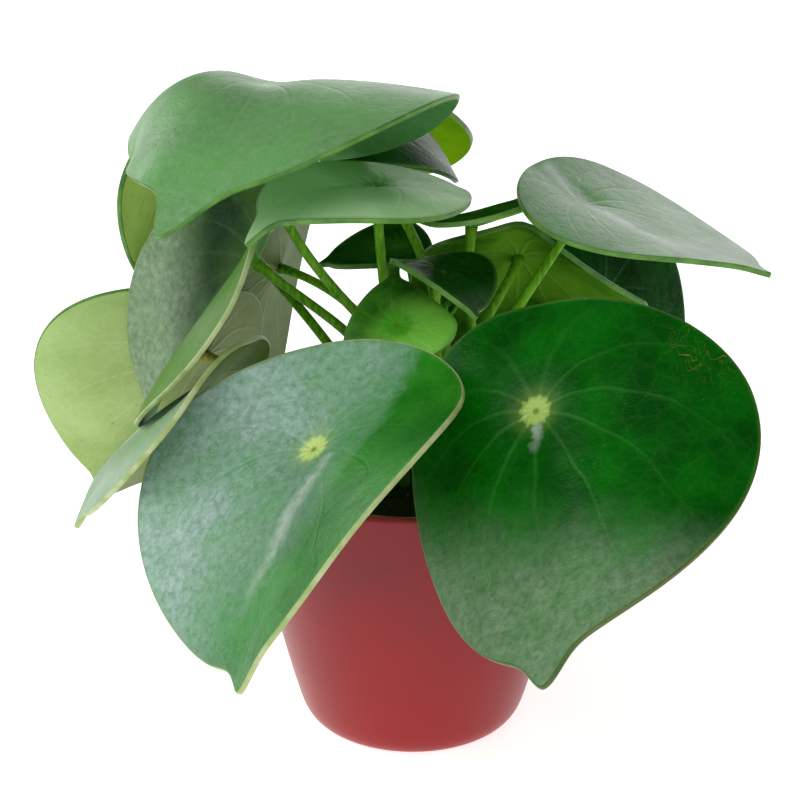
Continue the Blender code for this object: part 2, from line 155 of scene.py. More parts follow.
# potting soil: peaty mix with crumbs and a little perlite, slightly mounded round the crown
soil = {
    "radius": 50.3, "edge": 88.0, "crown": 90.0, "rings": 26, "steps": 96, "topFrom": 87.5,
    "body": ((50.3, 85.7), (45.5, 57.0), (39.3, 28.0), (35.2, 9.0), (32.6, 5.6), (0.0, 5.6)),
    "clods": 2.4, "roughness": 1.6, "crumbs": 420, "crumbSize": (0.8, 2.3), "perlite": 46, "pores": 0.6,
    "peat": "#1C130C", "peatLight": "#3A2A1B", "perliteWhite": "#C9C2B4", "perliteShade": "#8F8778",
    "spiral": 2.399963, "spread": 0.6180339, "mound": 1.4, "sink": 0.2,
    "moundScale": 260, "crumbScale": 900, "crumbShape": (1.2, 0.9, 0.7),
}


def makeSoil():
    peat, add, shader = newMaterial("dampPeat", {"Roughness": 0.93})  # fibrous and nearly black where damp
    place = add("TexCoord", {}, "Object")
    clods = add("TexNoise", {"Vector": place, "Scale": perMm(soil["clods"]), "Detail": 6.0, "Roughness": 0.7})
    dry = add("MapRange", {"Value": clods, "From Min": 0.4, "From Max": 0.72})
    setInputs(shader, {"Base Color": layColours(add, soil["peat"], ((dry, soil["peatLight"]),)),
                       "Normal": add("Bump", {"Height": clods, "Strength": 0.8, "Distance": 0.0008})})
    perlite, add, shader = newMaterial("perliteGrain", {"Roughness": 0.8})  # chalky expanded glass
    place = add("TexCoord", {}, "Object")
    pores = add("TexVoronoi", {"Vector": place, "Scale": perMm(soil["pores"])})
    setInputs(shader, {"Base Color": layColours(add, soil["perliteWhite"], ((pores, soil["perliteShade"]),))})

    form = bmesh.new()
    shares = [k / soil["rings"] for k in range(soil["rings"] + 1)]
    top = tuple((soil["radius"] * share, soil["crown"] - (soil["crown"] - soil["edge"]) * share ** 2)
                for share in shares)
    spinProfile(form, top + soil["body"], soil["steps"])
    for vertex in form.verts:
        if vertex.co.z > soil["topFrom"] * mm:
            rim = min(1.0, (soil["radius"] * mm - vertex.co.xy.length) / (4 * mm))
            vertex.co.z += soil["roughness"] * mm * rim * noise.noise(vertex.co * soil["moundScale"])
    low, high = soil["crumbSize"]
    for k in range(soil["crumbs"] + soil["perlite"]):
        # crumbs and perlite lie along a spiral whose places are spread over the disc
        turn = k * soil["spiral"]
        reach = (soil["radius"] - 3) * ((k * soil["spread"]) % 1) ** 0.5
        size = low + (high - low) * abs(noise.noise(Vector((k * 1.7, 3.1, 0.4))))
        height = soil["crown"] - soil["mound"] * (reach / 50) ** 2 + soil["sink"] * size
        at = Vector((reach * cos(turn), reach * sin(turn), height))
        lump = bmesh.ops.create_icosphere(form, subdivisions=1, radius=size * 0.5 * mm)["verts"]
        for vertex in lump:
            vertex.co *= 1 + 0.5 * noise.noise(vertex.co * soil["crumbScale"] + Vector((k, 0, 0)))
        bmesh.ops.scale(form, verts=lump, vec=soil["crumbShape"])
        bmesh.ops.rotate(form, verts=lump, matrix=Matrix.Rotation(turn * 3, 3, "Z"))
        bmesh.ops.translate(form, verts=lump, vec=at * mm)
        if k >= soil["crumbs"]:
            for face in {face for vertex in lump for face in vertex.link_faces}:
                face.material_index = 1
    finishPiece(form, "potting_soil", [peat, perlite], "potting_soil", "soil")
    print("soil made")


# each leaf: length and width of the blade, share of it behind the stalk, fullness towards the base, drip tip,
# turning of the halves, crease, turning of the ends, joint place and attitude; then the stalk's foot and bend,
# and the finish of each side with the record's slot that it takes
leaves = {
    "leaf_front_left": {
        "length": 110, "width": 118, "behind": 0.33, "full": 0.24, "fullSide": -0.01, "tip": 8,
        "turnLeft": -8, "turnRight": -6, "crease": 4, "turnTip": 30, "tipRate": 1.4, "turnBase": -33,
        "at": (-31, -62.5, 125), "heading": -101, "pitch": 20, "roll": 27,
        "twist": 29, "side": -0.09, "lean": -17,
        "foot": (21, 239), "rise": 30, "reach": 28, "shift": (-2, -1, 1),
        "top": "filmed", "under": "moss", "margin": "pale", "stalk": "olive", "slot": "leaf_dark",
    },
    "leaf_front_right": {
        "length": 122, "width": 116, "behind": 0.3, "full": 0.18, "fullSide": 0.01, "tip": 10,
        "turnLeft": -50, "turnRight": -48, "crease": 11, "turnTip": -20, "tipRate": 1.6, "turnBase": 8,
        "at": (35, -69, 140), "heading": -89, "pitch": 38, "roll": 29,
        "twist": 15, "side": 0.19, "lean": 5,
        "foot": (21, 294), "rise": 32, "reach": 27, "shift": (-3, -1, -2),
        "top": "deep", "under": "moss", "margin": "rust", "stalk": "olive", "slot": "leaf_dark",
    },
    "leaf_top_front": {
        "length": 115, "width": 116, "behind": 0.45, "full": 0.17, "fullSide": -0.04, "tip": 14,
        "turnLeft": -14, "turnRight": -118, "crease": 13, "turnTip": 65, "tipRate": 0.8, "turnBase": 71,
        "at": (-45, -21, 227), "heading": -92, "pitch": -12, "roll": -10,
        "twist": 20, "side": 0.02, "lean": -18,
        "foot": (14.5, 83), "rise": 33, "reach": 47, "shift": (0, 34, -26),
        "top": "satin", "under": "sage", "margin": "green", "stalk": "olive", "slot": "leaf_dark",
    },
    "leaf_middle_band": {
        "length": 70, "width": 64, "behind": 0.39, "full": -0.09, "fullSide": 0.03, "tip": 10,
        "turnLeft": -19, "turnRight": 8, "crease": 7, "turnTip": 45, "tipRate": 1.6, "turnBase": 4,
        "at": (-11, -19, 192.5), "heading": -155, "pitch": -8, "roll": 8,
        "twist": 5, "side": 0.27, "lean": 14,
        "foot": (15.5, 214), "rise": 29, "reach": 25, "shift": (1, 30, 0),
        "top": "fresh", "under": "moss", "margin": "green", "stalk": "olive", "slot": "leaf_dark",
    },
    "leaf_left_folded": {
        "length": 103, "width": 94, "behind": 0.3, "full": 0.05, "fullSide": 0.09, "tip": 12,
        "turnLeft": -34, "turnRight": 24, "crease": 25, "turnTip": 26, "tipRate": 2.3, "turnBase": -22,
        "at": (-53, 12, 156.5), "heading": 176, "pitch": 56, "roll": -5,
        "twist": 2, "side": 0.07, "lean": -18,
        "foot": (15.5, 192), "rise": 44, "reach": 23, "shift": (9, 15, -19),
        "top": "folded", "under": "moss", "margin": "pale", "stalk": "olive", "slot": "leaf_dark",
    },
    "leaf_left_back": {
        "length": 92, "width": 93, "behind": 0.27, "full": 0.2, "fullSide": 0, "tip": 11,
        "turnLeft": 18, "turnRight": 4, "crease": 15, "turnTip": -39, "tipRate": 1.9, "turnBase": -4,
        "at": (-73.3, 69, 100.4), "heading": 178, "pitch": 64, "roll": 47,
        "twist": 13, "side": 0.17, "lean": -5,
        "foot": (21, 145), "rise": 32, "reach": 33, "shift": (3, -8, 12),
        "top": "satin", "under": "pale", "margin": "green", "stalk": "tan", "slot": "leaf_olive",
    },
    "leaf_left_low": {
        "length": 83, "width": 78, "behind": 0.34, "full": 0.28, "fullSide": 0, "tip": 8,
        "turnLeft": -21, "turnRight": -44, "crease": 8, "turnTip": 26, "tipRate": 1.2, "turnBase": -13,
        "at": (-70.6, -14.1, 120.4), "heading": 174, "pitch": 39, "roll": 9,
        "twist": -19, "side": 0.03, "lean": -1,
        "foot": (20.5, 193), "rise": 30, "reach": 28, "shift": (-2, 3, 3),
        "top": "pale", "under": "dull", "margin": "pale", "stalk": "olive", "slot": "leaf_dark",
    },
    "leaf_top_back": {
        "length": 74, "width": 73, "behind": 0.38, "full": 0.31, "fullSide": 0, "tip": 4,
        "turnLeft": -18, "turnRight": 5, "crease": -8, "turnTip": 21, "tipRate": 1.5, "turnBase": 21,
        "at": (-81, 82.5, 159.5), "heading": 171, "pitch": 86, "roll": 34,
        "twist": -2, "side": 0.05, "lean": -1,
        "foot": (19, 169), "rise": 29, "reach": 28, "shift": (-7, -10, -3),
        "top": "satin", "under": "backlitLime", "margin": "green", "stalk": "olive", "slot": "leaf_olive",
    },
    "leaf_left_hanging": {
        "length": 107, "width": 86, "behind": 0.32, "full": 0.22, "fullSide": 0, "tip": 9,
        "turnLeft": 26, "turnRight": 3, "crease": 2, "turnTip": 27, "tipRate": 1.1, "turnBase": 13,
        "at": (-50.1, 108.5, 116.8), "heading": 136, "pitch": 68, "roll": -25,
        "twist": 1, "side": -0.07, "lean": -2,
        "foot": (20.5, 113), "rise": 32, "reach": 16, "shift": (7, -21, 10),
        "top": "satin", "under": "dull", "margin": "pale", "stalk": "olive", "slot": "leaf_olive",
    },
    "leaf_back_sheen": {
        "length": 73, "width": 51, "behind": 0.38, "full": 0.23, "fullSide": 0, "tip": 1,
        "turnLeft": -28, "turnRight": -14, "crease": 3, "turnTip": 63, "tipRate": 1.4, "turnBase": 30,
        "at": (-18.5, 36, 196), "heading": 15, "pitch": 11, "roll": 19,
        "twist": -7, "side": 0.07, "lean": -2,
        "foot": (10, 64), "rise": 76, "reach": 19, "shift": (12, -9, -8),
        "top": "shaded", "under": "dusk", "margin": "green", "stalk": "olive", "slot": "leaf_dark",
    },
    "leaf_back_olive": {
        "length": 70, "width": 56, "behind": 0.36, "full": 0.24, "fullSide": 0, "tip": 1,
        "turnLeft": -8, "turnRight": -36, "crease": 0, "turnTip": -1, "tipRate": 1.5, "turnBase": 22,
        "at": (-8, 97, 178), "heading": 54, "pitch": 42, "roll": -25,
        "twist": -7, "side": 0.02, "lean": 2,
        "foot": (21, 94), "rise": 27, "reach": 28, "shift": (2, 11, -7),
        "top": "satin", "under": "olive", "margin": "green", "stalk": "olive", "slot": "leaf_olive",
    },
    "leaf_centre_small": {
        "length": 33, "width": 38, "behind": 0.42, "full": 0.42, "fullSide": 0.07, "tip": 6,
        "turnLeft": -44, "turnRight": -16, "crease": 1, "turnTip": 16, "tipRate": 1.4, "turnBase": 28,
        "at": (-5, -30.5, 151), "heading": 113, "pitch": -27, "roll": -8,
        "twist": 20, "side": 0.03, "lean": -10,
        "foot": (20, 223), "rise": 33, "reach": 26, "shift": (2, -8, 0),
        "top": "young", "under": "moss", "margin": "green", "stalk": "olive", "slot": "leaf_dark",
    },
    "leaf_right_under": {
        "length": 76, "width": 84, "behind": 0.38, "full": 0.12, "fullSide": 0, "tip": 5,
        "turnLeft": 37, "turnRight": -3, "crease": -30, "turnTip": 20, "tipRate": 1.5, "turnBase": 39,
        "at": (34.5, 37, 149), "heading": 90, "pitch": 60, "roll": -3,
        "twist": -18, "side": -0.12, "lean": 1,
        "foot": (20, 70), "rise": 33, "reach": 32, "shift": (-8, 4, 9),
        "top": "shaded", "under": "dusk", "margin": "green", "stalk": "olive", "slot": "leaf_dark",
    },
    "leaf_top_right": {
        "length": 82, "width": 79, "behind": 0.25, "full": 0.22, "fullSide": -0.02, "tip": 6,
        "turnLeft": -8, "turnRight": -24, "crease": 6, "turnTip": -17, "tipRate": 0.8, "turnBase": -13,
        "at": (54, 5.5, 178.5), "heading": -27, "pitch": 18, "roll": -9,
        "twist": -12, "side": 0.06, "lean": -16,
        "foot": (11, 13), "rise": 37, "reach": 31, "shift": (-4, -4, 2),
        "top": "pale", "under": "moss", "margin": "green", "stalk": "olive", "slot": "leaf_dark",
    },
    "leaf_right_dark": {
        "length": 87, "width": 73, "behind": 0.42, "full": 0.24, "fullSide": 0, "tip": 6,
        "turnLeft": -3, "turnRight": -25, "crease": 0, "turnTip": 11, "tipRate": 1.5, "turnBase": 16,
        "at": (68.5, 77.5, 116.5), "heading": -53, "pitch": 64, "roll": -13,
        "twist": 0, "side": 0.18, "lean": 3,
        "foot": (20.5, 18), "rise": 45, "reach": 29, "shift": (0, -21, -27),
        "top": "shaded", "under": "dusk", "margin": "green", "stalk": "olive", "slot": "leaf_dark",
    },
    "leaf_centre_dark": {
        "length": 32, "width": 40, "behind": 0.4, "full": 0.39, "fullSide": 0, "tip": 3,
        "turnLeft": 7, "turnRight": 10, "crease": 2, "turnTip": 14, "tipRate": 1.3, "turnBase": 35,
        "at": (9.5, -13.5, 162), "heading": -56, "pitch": 18, "roll": -16,
        "twist": -14, "side": 0.06, "lean": -1,
        "foot": (14.5, 281), "rise": 33, "reach": 20, "shift": (2, 2, 1),
        "top": "shaded", "under": "dusk", "margin": "green", "stalk": "olive", "slot": "leaf_dark",
    },
    "leaf_back_under": {
        "length": 36, "width": 36, "behind": 0.36, "full": 0.35, "fullSide": 0, "tip": 3,
        "turnLeft": 14, "turnRight": 10, "crease": -1, "turnTip": 16, "tipRate": 1.6, "turnBase": 24,
        "at": (-6, 47, 147.5), "heading": 180, "pitch": 6, "roll": -4,
        "twist": 0, "side": -0.01, "lean": 3,
        "foot": (17.5, 134), "rise": 31, "reach": 31, "shift": (-11, 9, -6),
        "top": "matt", "under": "dusk", "margin": "green", "stalk": "olive", "slot": "leaf_dark",
    },
    "leaf_edge_on": {
        "length": 63, "width": 44, "behind": 0.43, "full": 0.21, "fullSide": 0, "tip": 6,
        "turnLeft": -21, "turnRight": 15, "crease": 9, "turnTip": -25, "tipRate": 1.5, "turnBase": 0,
        "at": (18.5, 9, 171), "heading": 59, "pitch": 15, "roll": -7,
        "twist": -13, "side": -0.01, "lean": 0,
        "foot": (18.5, 44), "rise": 39, "reach": 23, "shift": (-2, 5, -8),
        "top": "matt", "under": "moss", "margin": "green", "stalk": "olive", "slot": "leaf_dark",
    },
}

# veins leave the joint all round and arch to the tip; width, mesh of the net and radius of the pale spot in mm
veins = {"count": 11, "arch": 0.62, "wander": 0.16, "width": 1.3, "netSize": 5.5, "spot": 6.4}

# sizes in mm of the patterns on blades and stalks
leafGrain = {"cloud": 20.0, "fleck": 0.8, "dustAndGlintSize": 2.6, "grain": 0.9, "swell": 4.5, "underCloud": 22.0,
             "speck": 1.4, "underGrain": 0.8, "margin": 7.0, "streak": 1.3}


def veinPattern(add):
    # place on the flat blade in units of 100 mm, mm from the joint, and the strength of veins and net
    flat = add("UVMap", {}, uv_map="flat")
    reach = add("VectorMath", {0: flat}, "Value", operation="LENGTH")
    reach = add("Math", {0: reach, 1: 100.0}, operation="MULTIPLY")
    share = add("Attribute", {}, "Fac", attribute_name="share")
    across, along = add("SeparateXYZ", {0: flat}, "Y"), add("SeparateXYZ", {0: flat}, "X")
    bearing = add("Math", {0: across, 1: along}, operation="ARCTAN2")
    curl = add("Math", {0: share, 1: 1.5}, operation="POWER")
    side = add("Math", {0: bearing}, operation="SINE")
    bow = add("Math", {0: curl, 1: side}, operation="MULTIPLY")
    bearing = add("Math", {0: bow, 1: veins["arch"], 2: bearing}, operation="MULTIPLY_ADD")
    wander = add("TexNoise", {"Vector": flat, "Scale": 5.0, "Detail": 1.0})
    wander = add("Math", {0: wander, 1: 0.5}, operation="SUBTRACT")
    bearing = add("Math", {0: wander, 1: veins["wander"], 2: bearing}, operation="MULTIPLY_ADD")
    near = add("Math", {0: bearing, 1: veins["count"] / (2 * pi)}, operation="MULTIPLY")
    near = add("Math", {0: near, 1: 0.5}, operation="PINGPONG")
    near = add("Math", {0: near, 1: reach}, operation="MULTIPLY")
    near = add("Math", {0: near, 1: 2 * pi / veins["count"]}, operation="MULTIPLY")
    line = add("MapRange", {"Value": near, "From Max": veins["width"], "To Min": 1.0, "To Max": 0.0},
               interpolation_type="SMOOTHERSTEP")
    fade = add("MapRange", {"Value": share, "From Min": 0.12, "From Max": 0.95, "To Min": 1.0, "To Max": 0.1})
    line = add("Math", {0: line, 1: fade}, operation="MULTIPLY")
    net = add("TexVoronoi", {"Vector": flat, "Scale": 100 / veins["netSize"]}, feature="DISTANCE_TO_EDGE")
    net = add("MapRange", {"Value": net, "From Max": 0.12, "To Min": 1.0, "To Max": 0.0})
    return flat, reach, line, net


# upper sides. film is the grey bloom that hard water leaves, with a painted sheen laid into it: strength, slope
# over the flat blade, where it starts and how soft its edge is; its fade thins it again; the ramp is painted light
# and shade, from dark to light flesh; streak is a painted highlight on the fold along the midrib: from, to, half
# width, strength, slope and shift; scars are centred on the place given
topTones = {
    "filmed": {"dark": "#0A6A08", "light": "#2C8A1C", "vein": "#7CB060", "veinShow": 0.06, "spot": "#C9E283",
               "rough": 0.23, "shine": 0.25, "filmAndSheen": (0.7, (-0.31, -1.0, 0.0), -0.21, 0.07), "rings": 0.3,
               "filmAndSheenFade": ((-0.7, -1.0, 0.0), -0.4, 0.3, 0.12), "bloomAndSheen": "#AFC8C2",
               "streak": (0.05, 0.6, 0.05, 0.5, 0.33, -0.1)},
    "deep": {"dark": "#024806", "light": "#056A08", "vein": "#4C9C3A", "veinShow": 0.17, "spot": "#A9C867",
             "rough": 0.24, "shine": 0.2, "filmAndSheen": (0.42, (1.0, -0.3, 0.0), 0.34, 0.4), "scars": (-0.14, 0.54, 0.0),
             "streak": (0.03, 0.15, 0.02, 0.6, 0.0, 0.0)},
    "satin": {"dark": "#38842A", "light": "#4E9E40", "vein": "#86B876", "veinShow": 0.1, "spot": "#64A454",
              "rough": 0.33, "filmAndSheen": (0.3, (0.0, 0.0, 0.0), -1.0, 0.2)},
    # painted light: the light flesh and its ramp stand in for the light that the leaf above keeps off
    "fresh": {"dark": "#4EA810", "light": "#CCF0BC", "vein": "#CBE4BA", "veinShow": 0.2, "spot": "#4C9030",
              "rough": 0.36, "shine": 0.12, "filmAndSheen": (0.06, (0.0, 0.0, 0.0), -1.0, 0.2),
              "paintedLightRamp": ((1.0, 0.0, 0.0), -0.02, 0.2)},
    # painted shade: the ramp darkens one half of the blade
    "folded": {"dark": "#062C08", "light": "#4A8010", "vein": "#4E8448", "veinShow": 0.12, "spot": "#2C6420",
               "rough": 0.32, "shine": 0.15, "filmAndSheen": (0.5, (0.9, -0.8, 0.0), 0.3, 0.35),
               "paintedLightRamp": ((0.0, 1.0, 0.0), -0.04, 0.1)},
    # painted light and shade: the ramp turns the flesh from dark to light across the blade
    "young": {"dark": "#044C02", "light": "#74BC42", "vein": "#9CD06C", "veinShow": 0.08, "spot": "#4C9C24",
              "rough": 0.22, "shine": 0.3, "paintedLightRamp": ((-1.0, -0.6, 0.0), -0.1, 0.07)},
    # painted shade: a shaded copy of the upper side
    "shaded": {"dark": "#032A04", "light": "#08480A", "vein": "#2F6A26", "veinShow": 0.12, "spot": "#0C4410",
               "rough": 0.26, "shine": 0.12},
    # painted shade: a shaded copy of the upper side, with no gloss
    "matt": {"dark": "#0A3C08", "light": "#2A6414", "vein": "#4C8434", "veinShow": 0.12, "spot": "#2A6414",
             "rough": 0.5, "shine": 0.0},
    "pale": {"dark": "#3A7C38", "light": "#50964C", "vein": "#A8CC9C", "veinShow": 0.12, "spot": "#6CA45C",
             "rough": 0.3, "filmAndSheen": (0.4, (0.0, 0.0, 0.0), -1.0, 0.2), "streak": (-0.2, 0.5, 0.06, 0.9, 0.4, 0.0)},
}
# bloom is the grey of the water film and of the painted sheen laid into it
plainTop = {"shine": 0.5, "filmAndSheen": (0.0, (0.0, 0.0, 0.0), -1.0, 0.2), "rings": 0.15, "bloomAndSheen": "#A8C2A0"}
# marks on the upper side; streak is the colour of the painted highlight on the fold
topMarks = {"fleck": "#6FA85C", "eye": "#5F6A26", "streak": "#C4D2C6", "scar": "#9C7440", "edge": "#5E8C3C"}

# undersides, paler and duller, with raised veins; shade is a painted shadow, darker where another leaf covers the
# flesh
underTones = {
    # painted backlight: a lit copy of the underside
    "pale": {"dark": "#93B066", "light": "#A6C27C", "vein": "#C6DAA4", "veinShow": 0.35,
             "shade": (-0.04, 0.14, 0.46)},
    # painted backlight: a lit copy of the underside
    "backlitLime": {"dark": "#B4DC60", "light": "#C8EA7C", "vein": "#D8F0A0", "veinShow": 0.3},
    "moss": {"dark": "#2E7A08", "light": "#4C9418", "vein": "#7CB440", "veinShow": 0.3},
    # painted backlight: a lit copy of the underside
    "olive": {"dark": "#6AA008", "light": "#80B416", "vein": "#86B42C", "veinShow": 0.3, "shine": 0.0},
    # painted shade: a shaded copy of the underside
    "dusk": {"dark": "#1C5006", "light": "#568A1E", "vein": "#6E9C3C", "veinShow": 0.25, "shine": 0.0},
    "sage": {"dark": "#4E8848", "light": "#5C985A", "vein": "#84B07C", "veinShow": 0.15},
    # painted shade: a shaded copy of the underside
    "dull": {"dark": "#4C682C", "light": "#5C7638", "vein": "#78905A", "veinShow": 0.3},
}
marginTones = {"green": ("#5C8C34", "#3C7022"), "pale": ("#B2BE8A", "#93A862"), "rust": ("#54602A", "#3C5A1C")}
stalkTones = {"olive": ("#4A8410", "#74AC2A"), "tan": ("#6E7030", "#948C48")}


def veinCovers(add, look, line, net, netShow):
    # the net and the veins as colours that lie over the flesh
    return [(add("Math", {0: net, 1: netShow}, operation="MULTIPLY"), look["vein"]),
            (add("Math", {0: line, 1: look["veinShow"]}, operation="MULTIPLY"), look["vein"])]


def waterFilmAndSheen(add, look, flat, cloud, smear, dustAndGlints):
    # grey film of dried water with a painted sheen laid into it: patchy, with faint rings where drops stood
    strength, slope, start, soft = look["filmAndSheen"]
    lean = add("VectorMath", {0: flat, 1: slope}, "Value", operation="DOT_PRODUCT")
    lean = add("Math", {0: smear, 1: 0.16, 2: lean}, operation="MULTIPLY_ADD")
    filmAndSheen = add("MapRange", {"Value": lean, "From Min": start, "From Max": start + soft, "To Max": strength},
               interpolation_type="SMOOTHSTEP")
    washed = add("MapRange", {"Value": cloud, "To Min": 1.12, "To Max": 0.72})
    shares = [dustAndGlints, washed]
    if "filmAndSheenFade" in look:
        slope, low, high, least = look["filmAndSheenFade"]
        thin = add("VectorMath", {0: flat, 1: slope}, "Value", operation="DOT_PRODUCT")
        shares.append(add("MapRange", {"Value": thin, "From Min": low, "From Max": high, "To Min": least}))
    for share in shares:
        filmAndSheen = add("Math", {0: filmAndSheen, 1: share}, operation="MULTIPLY")
    ring = add("TexVoronoi", {"Vector": flat, "Scale": 13.0, "Randomness": 1.0})
    ring = add("Math", {0: ring, 1: 0.36}, operation="SUBTRACT")
    ring = add("Math", {0: ring}, operation="ABSOLUTE")
    ring = add("MapRange", {"Value": ring, "From Max": 0.035, "To Min": -look["rings"], "To Max": 0.0})
    return add("Math", {0: ring, 1: filmAndSheen, 2: filmAndSheen}, operation="MULTIPLY_ADD", use_clamp=True)


def jointSpot(add, flat, reach, line):
    # the joint shows through as a ragged pale spot with a glow round it and a dark eye
    rag = add("TexNoise", {"Vector": flat, "Scale": 90.0, "Detail": 2.0})
    ragged = add("Math", {0: rag, 1: 3.2, 2: reach}, operation="MULTIPLY_ADD")
    ragged = add("Math", {0: line, 1: -0.5, 2: ragged}, operation="MULTIPLY_ADD")
    spot = add("MapRange", {"Value": ragged, "From Min": 4.8, "From Max": veins["spot"] + 1.2, "To Min": 1.0,
                            "To Max": 0.0}, interpolation_type="SMOOTHSTEP")
    glow = add("MapRange", {"Value": reach, "From Min": 3.0, "From Max": 11.0, "To Min": 0.22, "To Max": 0.0},
               interpolation_type="SMOOTHSTEP")
    eye = add("MapRange", {"Value": reach, "From Min": 0.6, "From Max": 1.4, "To Min": 0.7, "To Max": 0.0})
    return add("Math", {0: spot, 1: glow}, operation="MAXIMUM"), eye


def paintedFoldHighlight(add, look, flat, smear, dustAndGlints):
    # painted highlight: the fold along the midrib is painted pale as if it catches the light
    first, last, half, strength, slope, shift = look["streak"]
    off = add("VectorMath", {0: flat, 1: (slope, 1.0, 0.0)}, "Value", operation="DOT_PRODUCT")
    off = add("Math", {0: smear, 1: 0.1, 2: off}, operation="MULTIPLY_ADD")
    off = add("Math", {0: off, 1: 0.05 - shift}, operation="SUBTRACT")
    off = add("Math", {0: off}, operation="ABSOLUTE")
    pale = add("MapRange", {"Value": off, "From Max": half, "To Min": strength, "To Max": 0.0},
               interpolation_type="SMOOTHSTEP")
    along = add("SeparateXYZ", {0: flat}, "X")
    rise = add("MapRange", {"Value": along, "From Min": first, "From Max": first + 0.03})
    fall = add("MapRange", {"Value": along, "From Min": (first + last) / 2, "From Max": last, "To Min": 1.0,
                            "To Max": 0.0})
    for share in (rise, fall):
        pale = add("Math", {0: pale, 1: share}, operation="MULTIPLY")
    return add("Math", {0: pale, 1: dustAndGlints}, operation="MULTIPLY", use_clamp=True)


def rubScars(add, look, flat):
    # brown nicks where the blade was rubbed near its margin
    scratch = add("TexNoise", {"Vector": flat, "Scale": 17.0, "Detail": 1.0, "Distortion": 1.2})
    scratch = add("Math", {0: scratch, 1: 0.5}, operation="SUBTRACT")
    scratch = add("Math", {0: scratch}, operation="ABSOLUTE")
    scratch = add("MapRange", {"Value": scratch, "From Max": 0.01, "To Min": 1.0, "To Max": 0.0})
    rub = add("VectorMath", {0: flat, 1: look["scars"]}, "Value", operation="DISTANCE")
    rub = add("MapRange", {"Value": rub, "From Min": 0.06, "From Max": 0.18, "To Min": 0.8, "To Max": 0.0})
    return add("Math", {0: scratch, 1: rub}, operation="MULTIPLY")


@cache
def leafTop(tone):
    # waxy cuticle over dark flesh: a clear gloss broken by fine grain, pale where the stalk joins
    look = {**plainTop, **topTones[tone]}
    material, add, shader = newMaterial("waxyLeafTop" + tone.capitalize(), {
        "IOR": 1.45, "Specular IOR Level": look["shine"]})
    flat, reach, line, net = veinPattern(add)
    place = add("TexCoord", {}, "Object")
    cloud = add("TexNoise", {"Vector": place, "Scale": perMm(leafGrain["cloud"]), "Detail": 4.0})
    cloud = add("MapRange", {"Value": cloud, "From Min": 0.36, "From Max": 0.68})
    # painted light and shade: the flesh turns from dark to light across the blade
    if "paintedLightRamp" in look:
        slope, low, high = look["paintedLightRamp"]
        paintedLitShare = add("VectorMath", {0: flat, 1: slope}, "Value", operation="DOT_PRODUCT")
        paintedLitShare = add("MapRange", {"Value": paintedLitShare, "From Min": low, "From Max": high})
        cloud = add("Math", {0: cloud, 1: 0.35, 2: paintedLitShare}, operation="MULTIPLY_ADD", use_clamp=True)
    smear = add("TexNoise", {"Vector": flat, "Scale": 6.0, "Detail": 5.0, "Roughness": 0.65})
    # mottle of the water film, which also breaks its painted sheen and the painted fold highlight into painted
    # glints
    dustAndGlints = add("TexNoise", {"Vector": place, "Scale": perMm(leafGrain["dustAndGlintSize"]), "Detail": 6.0, "Roughness": 0.7})
    dustAndGlints = add("MapRange", {"Value": dustAndGlints, "From Min": 0.35, "From Max": 0.65, "To Min": 0.6, "To Max": 1.25})
    fleck = add("TexNoise", {"Vector": place, "Scale": perMm(leafGrain["fleck"]), "Detail": 2.0})
    fleck = add("MapRange", {"Value": fleck, "From Min": 0.68, "From Max": 0.78, "To Max": 0.3})
    filmAndSheen = waterFilmAndSheen(add, look, flat, cloud, smear, dustAndGlints)
    spot, eye = jointSpot(add, flat, reach, line)
    covers = [(cloud, look["light"])] + veinCovers(add, look, line, net, 0.05)
    covers += [(fleck, topMarks["fleck"]), (filmAndSheen, look["bloomAndSheen"]), (spot, look["spot"]), (eye, topMarks["eye"])]
    if "streak" in look:
        covers.append((paintedFoldHighlight(add, look, flat, smear, dustAndGlints), topMarks["streak"]))
    if "scars" in look:
        covers.append((rubScars(add, look, flat), topMarks["scar"]))
    inward = add("Attribute", {}, "Fac", attribute_name="inward")
    edge = add("MapRange", {"Value": inward, "From Min": 0.1, "From Max": 1.6, "To Min": 0.5, "To Max": 0.0})
    covers.append((edge, topMarks["edge"]))

    gloss = add("MapRange", {"Value": smear, "From Min": 0.3, "From Max": 0.7, "To Min": look["rough"] - 0.04,
                             "To Max": look["rough"] + 0.1})
    grain = add("TexNoise", {"Vector": place, "Scale": perMm(leafGrain["grain"]), "Detail": 4.0,
                             "Roughness": 0.6})
    fine = add("Bump", {"Height": grain, "Strength": 0.3, "Distance": 0.0006})
    swell = add("TexNoise", {"Vector": place, "Scale": perMm(leafGrain["swell"]), "Detail": 2.0})
    soft = add("Bump", {"Height": swell, "Strength": 0.22, "Distance": 0.0012, "Normal": fine})
    setInputs(shader, {
        "Base Color": layColours(add, look["dark"], covers),
        "Roughness": add("Math", {0: filmAndSheen, 1: 0.12, 2: gloss}, operation="MULTIPLY_ADD"),
        "Normal": add("Bump", {"Height": line, "Strength": 0.25, "Distance": 0.0006, "Normal": soft},
                      invert=True),
    })
    return material


